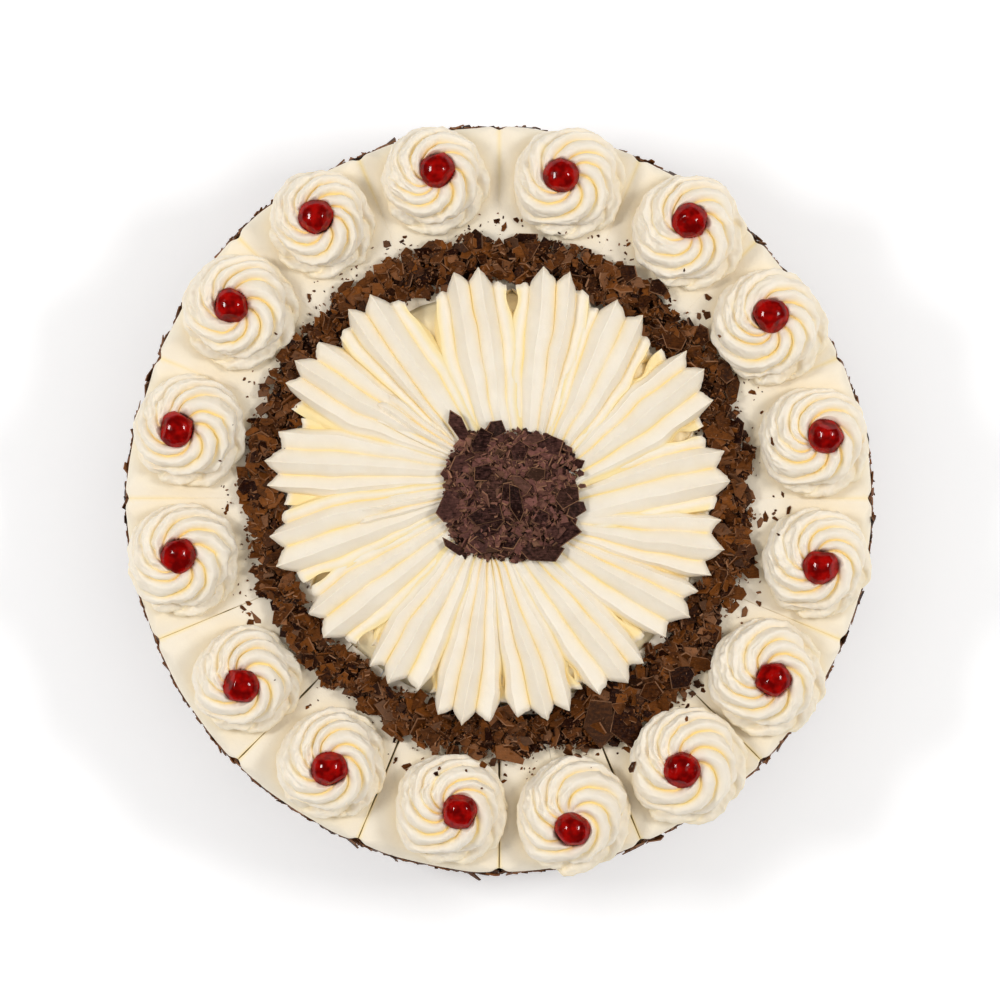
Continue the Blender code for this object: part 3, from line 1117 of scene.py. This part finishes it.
@dataclass
class Flakes:
    """Many broken flakes of chocolate in one mesh, each a thin plate with a few uneven corners.

    Args:
        places: the middle of each flake.
        normals: the way each flake's upper face looks.
        sizes: how large each flake is across.
        seed: the seed of what is left to chance.
        corners: how many corners a flake has.
        thickness: the thinnest and the thickest flake.
        slenderness: the least and the most length over width.
        least_reach: how far the nearest corner is from the middle, where the furthest is at 1.
        jitter: how far corners stray round the flake, as a share of their even distance.
        border: how far the worn edge slopes inwards.
        scuffing: how rare pale edges are.
        dust: how pale the palest faces are.
        tone: the middle and the spread of how light the faces are.
        turns: each flake's turn about its normal, or None to leave it to chance.
        stretches: each flake's length over its width, or None to leave it to chance.
    """

    places: Array
    normals: Array
    sizes: Array
    seed: int
    corners: int = 5
    thickness: tuple[float, float] = (0.3 * MM, 0.7 * MM)
    slenderness: tuple[float, float] = (1.0, 2.4)
    least_reach: float = 0.78
    jitter: float = 0.36
    border: float = 0.22 * MM
    scuffing: float = 1.8
    dust: float = 0.5
    tone: tuple[float, float] = (0.45, 0.40)
    turns: Array | None = None
    stretches: Array | None = None

    def build(self, name: str) -> bpy.types.Object:
        """Models every flake."""
        chance = np.random.default_rng(self.seed)
        count, corners = len(self.places), self.corners
        stray = chance.uniform(-self.jitter, self.jitter, (count, corners))
        ring = (np.arange(corners) + 0.5 + stray) * TAU / corners
        reach = chance.uniform(self.least_reach, 1.0, (count, corners))
        stretch = np.sqrt(chance.uniform(*self.slenderness, (count, 1)))
        if self.stretches is not None:
            stretch = np.sqrt(self.stretches)[:, None]
        size = self.sizes[:, None] / 2
        flat_x = reach * np.cos(ring) * size * stretch
        flat_y = reach * np.sin(ring) * size / stretch
        curl = chance.normal(0, 0.10, (count, 1)) * (flat_x**2) / size
        curl = curl + chance.normal(0, 0.03, flat_x.shape) * size
        thick = chance.uniform(*self.thickness, (count, 1)) * np.minimum(1, 0.45 + size / (3 * MM))
        border = np.maximum(1 - self.border / size, 0.6)
        upper = np.stack((flat_x * border, flat_y * border, curl + thick / 2), axis=-1)
        lower = np.stack((flat_x, flat_y, curl - thick / 2), axis=-1)
        local = np.concatenate((upper, lower), axis=1)
        points = self.turn(local, chance) + self.places[:, None, :]
        return self.mesh(name, points, chance)

    def turn(self, local: Array, chance: np.random.Generator) -> Array:
        """Lays each flake square to its own normal, turned at random about it."""
        normal = self.normals / np.linalg.norm(self.normals, axis=1, keepdims=True)
        helper = np.where(np.abs(normal[:, 2:]) > 0.7, np.array((0, 1.0, 0)), np.array((0, 0, 1.0)))
        side = np.cross(helper, normal)
        side /= np.linalg.norm(side, axis=1, keepdims=True)
        other = np.cross(normal, side)
        yaw = chance.uniform(0, TAU, (len(normal), 1))
        if self.turns is not None:
            yaw = self.turns[:, None]
        first = side * np.cos(yaw) + other * np.sin(yaw)
        second = other * np.cos(yaw) - side * np.sin(yaw)
        axes = np.stack((first, second, normal), axis=1)
        return np.sum(local[..., None] * axes[:, None], axis=-2)

    def mesh(self, name: str, points: Array, chance: np.random.Generator) -> bpy.types.Object:
        """Makes the faces: two plates and a band of edges for each flake."""
        count, corners = len(points), self.corners
        top = np.arange(corners)
        bottom = top[::-1] + corners
        following = (top + 1) % corners
        band = np.stack((top, top + corners, following + corners, following), axis=1)
        start = (np.arange(count) * 2 * corners)[:, None]
        caps = np.concatenate((top + start, bottom + start), axis=1).reshape(-1, corners)
        sides = (band.reshape(-1) + start).reshape(-1, 4)
        mesh = bpy.data.meshes.new(name)
        mesh.from_pydata(points.reshape(-1, 3).tolist(), [], caps.tolist() + sides.tolist())
        piece = bpy.data.objects.new(name, mesh)
        bpy.context.scene.collection.objects.link(piece)
        shade = np.clip(chance.normal(*self.tone, count), 0, 1)
        mark(piece, Mark.SHADE, np.repeat(shade, 2 * corners))
        dusty = self.dust * chance.uniform(0, 1, count) ** 6
        scraped = np.concatenate((np.repeat(dusty, 2), chance.uniform(0, 1, len(sides)) ** self.scuffing))
        mark(piece, Mark.SCRAPED, scraped, "FACE")
        face_outwards(piece)
        return piece


def tilted(normal: Array, spread: float | Array, chance: np.random.Generator) -> Array:
    """Normals that stray from the given ones."""
    return normal + chance.normal(0, 1, normal.shape) * spread


def mixed_sizes(count: int, middle: float, spread: float, most: float, chance: np.random.Generator) -> Array:
    """Sizes of broken flakes in metres: mostly about the middle one, with many crumbs and some large plates.

    Args:
        count: how many.
        middle: the middle size in millimetres.
        spread: how unlike they are.
        most: the largest in millimetres.
        chance: the random numbers to draw from.

    Returns:
        The sizes, the smallest first, so that the largest can lie on top.
    """
    return np.sort(np.clip(chance.lognormal(math.log(middle), spread, count), 0.9, most)) * MM


@dataclass(frozen=True)
class Plate:
    """A large flake given one by one, in millimetres and degrees from the cake's middle."""

    x: float
    y: float
    length: float
    width: float
    turn: float
    tilt: float = 4.0


def lay_plates(
    name: str, plates: tuple[Plate, ...], level: Callable[[Array, Array], Array], seed: int
) -> bpy.types.Object:
    """Models large plates that lie on a heap.

    Args:
        name: the new piece's name.
        plates: the plates.
        level: the heap's height at X and Y.
        seed: the seed of what is left to chance about them.

    Returns:
        One piece with all of them.
    """
    chance = np.random.default_rng(seed)
    table = np.array([(p.x, p.y, p.length, p.width, p.turn, p.tilt) for p in plates])
    x, y, length, width = table[:, :4].T * MM
    turn, tilt = np.radians(table[:, 4:]).T
    places = np.stack((x, y, level(x, y)), axis=-1)
    way = chance.uniform(0, TAU, len(x))
    up = polar(np.tan(tilt), way, np.ones(len(x)))
    laid = Flakes(places, up, np.sqrt(length * width) * 1.3, seed + 1, turns=turn, stretches=length / width)
    laid.least_reach, laid.jitter, laid.border = 0.86, 0.28, 0.40 * MM
    laid.scuffing, laid.dust, laid.tone = 0.7, 0.12, (0.17, 0.10)
    return laid.build(name)


@dataclass
class FlakeRing:
    """The band of flakes heaped between the fan and the rosettes."""

    plates: tuple[Plate, ...] = (
        Plate(37.4, -83.4, 18.0, 10.5, 84, 5),
        Plate(47.6, -84.0, 17.0, 11.0, 96, 10),
        Plate(67.7, -67.0, 10.0, 8.0, 40, 12),
        Plate(56.5, -72.6, 8.0, 7.0, 30, 16),
        Plate(80.0, -52.4, 8.0, 3.4, 62, 20),
        Plate(65.5, 59.3, 8.5, 7.0, -38, 14),
        Plate(75.5, 61.0, 8.0, 6.0, 78, 24),
        Plate(84.5, 47.2, 9.5, 5.0, -62, 16),
        Plate(47.5, 83.3, 8.0, 7.0, 20, 12),
        Plate(59.5, 78.8, 7.0, 6.0, -35, 14),
        Plate(92.5, -20.4, 8.0, 7.0, 10, 12),
        Plate(9.6, 97.5, 9.0, 3.4, 4, 16),
    )
    count: int = 4700
    crumbs: int = 3600
    seed: int = 51
    flake_size: tuple[float, float, float] = (3.2, 0.48, 10.5)
    coarse_at: float = math.radians(-48)
    coarse_width: float = math.radians(32)
    inner: float = 80 * MM
    outer: tuple[float, ...] = (
        *(95, 96, 99, 98, 99, 100, 99, 98.5, 98.5, 97),
        *(95.5, 97, 96, 94.5, 97, 98, 100, 101.5, 98, 97),
    )

    def __post_init__(self) -> None:
        """Reads the band's height from its solid."""
        low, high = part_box("flake_ring")
        self.foot = low.z
        self.crown = high.z - low.z

    def edges(self, angle: Array) -> tuple[Array, Array]:
        """The band's inner and outer radius at an angle."""
        knots = np.arange(len(self.outer)) * TAU / len(self.outer)
        outer = np.interp(angle % TAU, knots, self.outer, period=TAU) * MM
        inner = self.inner + 1.8 * MM * ring_lumps(angle, 9, 62)
        return inner, outer + 2.0 * MM * ring_lumps(angle, 14, 61) + 1.6 * MM * ring_lumps(angle, 40, 65)

    def crown_at(self, share: Array, angle: Array) -> Array:
        """The heap's height over the icing, where share runs from 0 at its inner edge to 1 at its outer."""
        arch = np.sqrt(np.clip(1 - np.abs(2 * share - 1) ** 2.6, 0, 1))
        return self.crown * 0.78 * arch * (1 + 0.25 * ring_lumps(angle, 22, 63))

    def core(self) -> bpy.types.Object:
        """Models the heap that fills the space under the flakes, in the darkest tone as painted shade in the
        gaps between them.
        """
        piece, across, along = add_sheet("ring_core", 320, 14)
        angle = TAU * across
        inner, outer = self.edges(angle)
        inner, outer = inner + 3.0 * MM, outer - 4.0 * MM
        radius = inner + (outer - inner) * along
        level = self.crown_at(along, angle) * 0.62
        spots = polar(radius, angle, level)
        level = level + 0.5 * MM * lumps(spots, 2.2 * MM, 64) * np.minimum(1, 6 * along * (1 - along))
        level = np.where((along == 0) | (along == 1), 0, np.maximum(level, 0.05 * MM))
        points = np.stack((spots[..., 0], spots[..., 1], level + self.foot - 0.4 * MM), axis=-1)
        move_points(piece, points)
        mark(piece, Mark.SHADE, CORE_PAINTED_SHADE)
        mark(piece, Mark.SCRAPED, 0.0)
        close_up(piece, ring=True)
        return piece

    def scatter(self) -> bpy.types.Object:
        """Models the flakes on the heap."""
        chance = np.random.default_rng(self.seed)
        size = mixed_sizes(self.count, *self.flake_size, chance)
        rank = np.linspace(0, 1, self.count)
        angle = chance.uniform(0, TAU, self.count)
        near = bell(turned(angle - self.coarse_at), self.coarse_width)
        size = size * (1 + 0.25 * near)
        inner, outer = self.edges(angle)
        share = chance.beta(1.05, 1.05, self.count)
        radius = inner + (outer - inner) * share + chance.normal(0, 1.3 * MM, self.count) * (1 - rank) ** 2
        lift = self.crown_at(share, angle) * (0.55 + 0.40 * rank + chance.uniform(-0.1, 0.1, self.count))
        places = polar(radius, angle, self.foot + lift + 0.2 * MM)
        lean = (2 * share - 1) * 0.40
        up = polar(lean, angle, np.ones(self.count))
        up = tilted(up, (0.62 - 0.26 * rank)[:, None], chance)
        bare = lumps(places, 6 * MM, 66) + 0.5 * lumps(places, 2.5 * MM, 67)
        kept = bare < 0.66 - 0.75 * np.abs(2 * share - 1) ** 3
        return Flakes(places[kept], up[kept], size[kept], self.seed + 1).build("ring_flakes")

    def sprinkle(self) -> bpy.types.Object:
        """Models the fine crumbs on top of the flakes."""
        chance = np.random.default_rng(self.seed + 3)
        angle = chance.uniform(0, TAU, self.crumbs)
        share = chance.beta(1.2, 1.2, self.crumbs)
        inner, outer = self.edges(angle)
        stray = chance.normal(0, 1.2 * MM, self.crumbs) * chance.exponential(1.5, self.crumbs)
        radius = inner + (outer - inner) * share + stray
        lift = np.maximum(self.crown_at(share, angle), 0.3 * MM) + chance.uniform(-0.6, 1.3, self.crumbs) * MM
        lift = np.where((radius > inner) & (radius < outer), lift, 0.3 * MM)
        places = polar(radius, angle, self.foot + lift)
        up = tilted(np.tile((0.0, 0.0, 1.0), (self.crumbs, 1)), 0.6, chance)
        size = chance.uniform(0.5, 1.5, self.crumbs) * MM
        return Flakes(places, up, size, self.seed + 4, corners=4).build("ring_crumbs")

    def level(self, x: Array, y: Array) -> Array:
        """The height of the heap's surface at X and Y, just under a plate's middle."""
        angle = np.arctan2(y, x)
        inner, outer = self.edges(angle)
        share = np.clip((np.hypot(x, y) - inner) / (outer - inner), 0.1, 0.9)
        return self.foot + self.crown_at(share, angle) + 1.0 * MM

    def make(self, looks: Looks) -> None:
        """Builds and dresses the heap, its flakes, its plates and its crumbs."""
        plates = lay_plates("ring_plates", self.plates, self.level, self.seed + 5)
        for piece in (self.core(), self.scatter(), plates, self.sprinkle()):
            settle(piece, Slot.DARK_FLAKES, looks.flakes, "flake_ring")


@dataclass
class FlakePile:
    """The heap of finer flakes in the fan's hole, with large plates on top."""

    plates: tuple[Plate, ...] = (
        Plate(-15.0, 26.0, 13.0, 4.6, -59, 12),
        Plate(-18.0, -3.5, 11.5, 9.5, 78, 6),
        Plate(-3.0, 3.0, 10.5, 8.0, 60),
        Plate(2.8, 1.0, 12.5, 3.6, 86, 8),
        Plate(6.2, -1.8, 13.5, 4.4, 100, 6),
        Plate(-4.5, -6.5, 12.0, 7.0, 8),
        Plate(-3.0, -11.5, 14.5, 6.5, 14),
        Plate(-5.0, -17.8, 12.0, 5.5, -6, 9),
        Plate(15.0, -19.5, 17.0, 8.0, -8, 12),
        Plate(24.0, -13.5, 12.0, 8.0, 32, 10),
        Plate(25.5, 0.5, 9.5, 7.5, 70, 12),
        Plate(28.5, -4.5, 7.5, 6.0, 20, 25),
        Plate(19.5, 19.0, 10.5, 6.5, -12, 9),
        Plate(12.5, 21.8, 8.5, 3.6, 8, 18),
        Plate(7.8, 17.0, 7.0, 7.0, 45, 12),
        Plate(-6.5, 21.0, 10.5, 6.0, 62, 8),
        Plate(-1.0, 25.5, 7.5, 5.5, 15, 14),
        Plate(-6.0, 9.0, 7.5, 6.0, 30, 10),
        Plate(-14.5, 12.5, 8.5, 5.5, 35, 14),
        Plate(8.5, 4.5, 8.5, 4.0, -42, 10),
        Plate(13.5, 8.5, 7.0, 5.0, 10, 8),
        Plate(15.5, -8.0, 7.0, 6.0, 80, 10),
        Plate(4.5, -16.0, 7.0, 5.5, 35, 12),
        Plate(-16.0, -19.5, 12.0, 3.0, -36, 20),
        Plate(-18.5, -10.3, 2.6, 2.2, 5, 10),
        Plate(30.2, 9.0, 3.0, 2.6, 60, 14),
        Plate(31.0, 4.2, 2.8, 1.9, 0, 8),
    )
    count: int = 3600
    flake_size: tuple[float, float, float] = (2.1, 0.55, 6.5)
    seed: int = 71

    def __post_init__(self) -> None:
        """Reads the heap's size from its solid."""
        low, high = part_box("flake_pile")
        self.middle = (low + high) / 2
        self.radius = (high.x - low.x) / 2 + 0.6 * MM
        self.foot = low.z
        self.crown = high.z - low.z

    def edge(self, angle: Array) -> Array:
        """The heap's radius at an angle: rather square, with bites out of it."""
        square = 1 + 0.045 * np.cos(4 * (angle - math.radians(40)))
        return self.radius * square * (1 + 0.06 * ring_lumps(angle, 3.5, 72))

    def crown_at(self, share: Array, angle: Array) -> Array:
        """The heap's height, where share is 0 in the middle and 1 at the edge."""
        return self.crown * (0.90 - 0.20 * share**3.0 + 0.03 * ring_lumps(angle, 3, 73))

    def core(self) -> bpy.types.Object:
        """Models the heap under the flakes, in the darkest tone as painted shade in the gaps between them."""
        piece, across, along = add_sheet("pile_core", 96, 20)
        angle = TAU * across
        share = 1 - ease(0.2, 1.0, along)
        radius = (self.edge(angle) - 2.4 * MM) * np.where(along < 0.2, 1, share)
        level = self.crown_at(radius / self.radius, angle) * 0.93 * ease(0, 0.22, along)
        spots = polar(radius, angle, level)
        level = level + 0.7 * MM * lumps(spots, 2.5 * MM, 74) * ease(0.1, 0.3, along)
        points = np.stack((spots[..., 0], spots[..., 1], level), axis=-1)
        points += (self.middle.x, self.middle.y, self.foot - 0.3 * MM)
        points[-1] = points[-1].mean(axis=0)
        move_points(piece, points)
        mark(piece, Mark.SHADE, CORE_PAINTED_SHADE)
        mark(piece, Mark.SCRAPED, 0.0)
        close_up(piece)
        return piece

    def scatter(self) -> bpy.types.Object:
        """Models the flakes on the heap."""
        chance = np.random.default_rng(self.seed)
        size = mixed_sizes(self.count, *self.flake_size, chance)
        rank = (np.linspace(0, 1, self.count) + chance.uniform(0, 0.6, self.count)) / 1.6
        angle = chance.uniform(0, TAU, self.count)
        share = np.sqrt(chance.uniform(0, 1, self.count))
        radius = self.edge(angle) * share
        drop = chance.uniform(0, 1, self.count) ** 2 * ease(0.75, 1.0, share) * 5 * MM
        lift = self.crown_at(share, angle) + (rank - 0.7) * 1.2 * MM - drop
        places = polar(radius, angle, lift)
        places += (self.middle.x, self.middle.y, self.foot)
        lean = share**3 * 0.5
        up = polar(lean, angle, np.ones(self.count))
        spread = (0.70 - 0.36 * rank)[:, None]
        return Flakes(places, tilted(up, spread, chance), size, self.seed + 1).build("pile_flakes")

    def level(self, x: Array, y: Array) -> Array:
        """The height of the heap's surface at X and Y, just under a plate's middle."""
        far = np.hypot(x - self.middle.x, y - self.middle.y) / self.radius
        return self.foot + self.crown_at(np.minimum(far, 1.0), 0 * far) + 1.7 * MM

    def make(self, looks: Looks) -> None:
        """Builds and dresses the heap, its flakes and its plates."""
        plates = lay_plates("pile_plates", self.plates, self.level, self.seed + 5)
        for piece in (self.core(), self.scatter(), plates):
            settle(piece, Slot.DARK_FLAKES, looks.crumbs, "flake_pile")


@dataclass
class SideCoat:
    """Flakes pressed on to the side of the cake, up to just under its rim."""

    slices: Slices
    count: int = 11800
    foot_share: float = 0.15
    seed: int = 91

    def make(self, looks: Looks) -> None:
        """Builds and dresses the coat."""
        chance = np.random.default_rng(self.seed)
        angle = chance.uniform(0, TAU, self.count)
        step = TAU / self.slices.count
        to_cut = np.abs(turned((angle / step - np.round(angle / step)) * step)) * self.slices.radius
        keep = to_cut > 0.7 * MM
        angle = angle[keep]
        count = len(angle)
        size = np.clip(chance.lognormal(math.log(3.8), 0.45, count), 1.0, 8.5) * MM
        top = self.slices.height - 7.0 * MM + 2.4 * MM * ring_lumps(angle, 26, 92)
        at_foot = chance.uniform(0, 1, count) < self.foot_share
        size = np.where(at_foot, np.minimum(size, 2.6 * MM), size)
        lowest = self.slices.base + 0.66 * size
        height = np.where(at_foot, 5 * MM, top - lowest)
        level = lowest + height * chance.uniform(0, 1, count)
        radius = self.slices.rim_radius(angle) + chance.uniform(-0.4, 0.8, count) * MM
        places = polar(radius, angle, level)
        out = polar(1.0, angle, np.full(count, 0.05))
        coat = Flakes(places, tilted(out, 0.16, chance), size, self.seed + 1).build("side_flakes")
        settle(coat, Slot.DARK_FLAKES, looks.flakes)


@dataclass
class Crumbs:
    """Loose flakes that fell beside the ring and on the nearer rosettes."""

    surfaces: list[bpy.types.Object]
    count: int = 330
    clinging: float = 0.10
    seed: int = 111
    lone: tuple[tuple[float, float, float], ...] = (
        (78.2, 75.4, 3.4),
        (-0.9, 104.3, 3.0),
        (6.6, 104.6, 3.0),
        (87.8, -40.9, 5.0),
        (92.0, -42.7, 4.0),
        (99.7, -6.6, 4.5),
        (97.6, -9.0, 4.0),
        (49.4, -100.5, 5.0),
        (29.4, -96.1, 3.4),
        (69.7, -82.4, 2.4),
        (-34.8, -100.3, 3.6),
        (-6.0, -99.7, 3.8),
        (-91.6, -44.7, 5.5),
        (-39.1, -90.4, 2.4),
    )

    def landing(self) -> Callable[[float, float], tuple[Vector, Vector]]:
        """A function that says where something dropped at X and Y comes to lie, and on what slope."""
        graph = bpy.context.evaluated_depsgraph_get()
        trees = [BVHTree.FromObject(surface, graph) for surface in self.surfaces]

        def land(x: float, y: float) -> tuple[Vector, Vector]:
            """Where it lies and the normal there."""
            best = Vector((x, y, 0)), Vector((0, 0, 1))
            for tree in trees:
                place, normal, _, _ = tree.ray_cast(Vector((x, y, 0.2)), Vector((0, 0, -1)))
                if place is not None and place.z > best[0].z:
                    best = place, normal
            return best

        return land

    def make(self, looks: Looks) -> None:
        """Builds and dresses the crumbs."""
        chance = np.random.default_rng(self.seed)
        land = self.landing()
        angle = chance.uniform(0, TAU, self.count)
        radius = (101.5 + np.abs(chance.normal(0, 3.2, self.count))) * MM
        landed = [land(r * math.cos(a), r * math.sin(a)) for r, a in zip(radius, angle)]
        on_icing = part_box("slice_01")[1].z + 1.5 * MM
        keep = chance.uniform(0, 1, self.count) < self.clinging
        landed = [spot for spot, kept in zip(landed, keep) if kept or spot[0].z < on_icing]
        landed += [land(x * MM, y * MM) for x, y, _ in self.lone]
        places = np.array([tuple(place) for place, _ in landed])
        normals = np.array([tuple(normal) for _, normal in landed])
        places[:, 2] += 0.15 * MM
        size = np.clip(chance.lognormal(math.log(1.4), 0.5, len(landed)), 0.5, 4.5) * MM
        size[-len(self.lone):] = [each * MM for _, _, each in self.lone]
        crumbs = Flakes(places, tilted(normals, 0.12, chance), size, self.seed + 1).build("loose_crumbs")
        settle(crumbs, Slot.DARK_FLAKES, looks.flakes)


@dataclass
class Studio:
    """A white floor, two soft boxes left and right, an even white sky, and a camera high above."""

    floor_glow: float = 0.22
    view_distance: float = 1.776
    view_lean: float = 0.043
    half_view: float = 0.1874
    box_angle: float = math.radians(40)
    box_distance: float = 1.5
    box_size: float = 0.30
    box_power: float = 7.4
    sky: float = 0.505
    sky_tint: Colour = (0.990, 0.985, 0.990)
    aim: tuple[float, float] = (0.0003, -0.0007)

    def build(self) -> None:
        """Sets up the floor, the lights and the camera."""
        deselect()
        bpy.ops.mesh.primitive_plane_add(size=6)
        floor = bpy.context.active_object
        floor.name = "floor"
        graph = Graph(bpy.data.materials.new("white_floor"))
        white = (1.0, 1.0, 1.0)
        graph.dress(
            Base_Color=(0.97, 0.97, 0.97), Roughness=0.9, Emission_Color=white, Emission_Strength=self.floor_glow
        )
        floor.data.materials.append(graph.owner)
        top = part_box("slice_01")[1].z
        for side in (-1, 1):
            self.soft_box(side, Vector((0, 0, top)))
        self.even_sky()
        self.camera(top)
        scene = bpy.context.scene
        scene.view_settings.view_transform = "Standard"

    def soft_box(self, side: int, aim: Vector) -> None:
        """One soft box, on the left or the right."""
        offset = Vector((side * math.sin(self.box_angle), 0.10, math.cos(self.box_angle))) * self.box_distance
        bpy.ops.object.light_add(type="AREA", location=aim + offset)
        lamp = bpy.context.active_object
        lamp.rotation_euler = offset.to_track_quat("Z", "Y").to_euler()
        lamp.data.energy = self.box_power
        lamp.data.shape = "RECTANGLE"
        lamp.data.size = self.box_size * 1.3
        lamp.data.size_y = self.box_size

    def even_sky(self) -> None:
        """White light from all round, which shiny things don't mirror."""
        world = bpy.data.worlds.new("white_sky")
        graph = Graph(world, "Background")
        graph.dress(Color=self.sky_tint, Strength=self.sky)
        world.cycles_visibility.glossy = False
        bpy.context.scene.world = world

    def camera(self, top: float) -> None:
        """A long lens that looks down on the cake, from a hand's width towards the front."""
        deselect()
        aim = Vector((*self.aim, top))
        place = aim + Vector((0, -self.view_lean, self.view_distance))
        bpy.ops.object.camera_add(location=place)
        camera = bpy.context.active_object
        camera.rotation_euler = (place - aim).to_track_quat("Z", "Y").to_euler()
        camera.data.lens = camera.data.sensor_width / 2 * self.view_distance / self.half_view
        camera.data.clip_start = 0.1
        bpy.context.scene.camera = camera


def main() -> None:
    """Builds the whole cake and its studio."""
    logging.basicConfig(level=logging.INFO, format="%(message)s")
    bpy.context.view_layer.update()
    Studio().build()
    looks = Looks()
    slices = Slices()
    slices.make(looks)
    rosettes = [Rosette(number).make(looks) for number in range(1, slices.count + 1)]
    for number in range(1, slices.count + 1):
        Cherry(number).make(looks)
    strokes = Fan().make(looks)
    FlakeRing().make(looks)
    FlakePile().make(looks)
    SideCoat(slices).make(looks)
    icing = [piece for piece in bpy.data.objects if piece.name.startswith("iced_slice")]
    Crumbs(rosettes + icing + strokes).make(looks)


if __name__ == "__main__":
    main()
